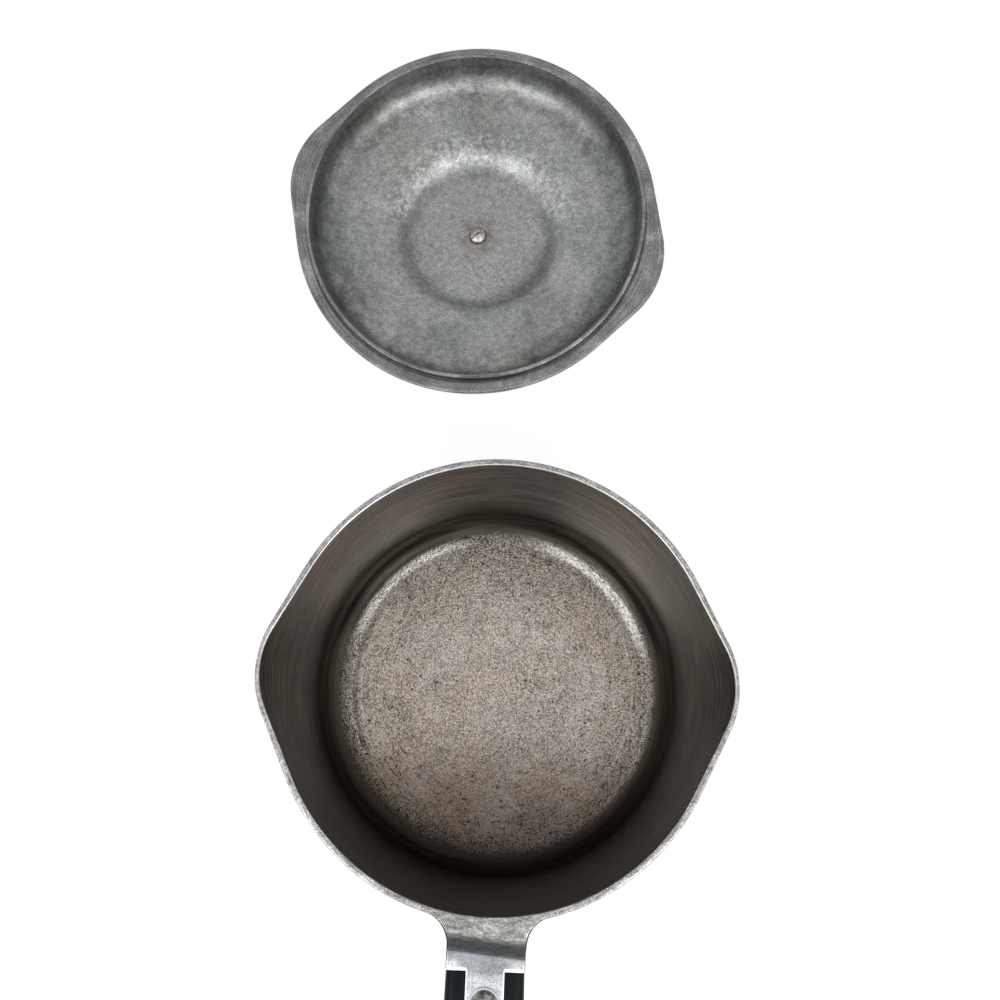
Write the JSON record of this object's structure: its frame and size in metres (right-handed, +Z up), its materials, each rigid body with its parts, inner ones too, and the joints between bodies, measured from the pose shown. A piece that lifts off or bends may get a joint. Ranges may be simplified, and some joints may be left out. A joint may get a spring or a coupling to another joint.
{
  "type": "saucepan",
  "caption": "Cast aluminium saucepan with a pouring spout on each side, a black bolted grip, and an eared domed lid lying upside down beside it.",
  "frame": {"origin": "centre of the pan's underside, on the table", "axes": "+Z up, -Y along the handle, +Y towards the lid, X through the two spouts"},
  "size_m": [0.2179, 0.5831, 0.097],
  "materials": {
    "pan_aluminium": "worn cast and brushed",
    "lid_aluminium": "worn cast, mottled",
    "black_phenolic": "moulded, semi-gloss",
    "steel": "plated, dulled",
    "brass": "turned"
  },
  "bodies": {
    "pan": {"pan_body": "pan_aluminium", "handle_grip": "black_phenolic", "handle_bolt": "steel", "bolt_washer": "steel", "nut_washer": "steel", "handle_nut": "steel"},
    "lid": {"lid_shell": "lid_aluminium", "lid_knob": "black_phenolic", "knob_washer": "steel", "knob_insert": "brass", "knob_screw": "steel"}
  },
  "joints": [
    {"name": "lid_lift", "type": "slide", "parent": "pan", "child": "lid", "axis": [0, 0, 1], "range_m": [0, 0.15]}
  ]
}
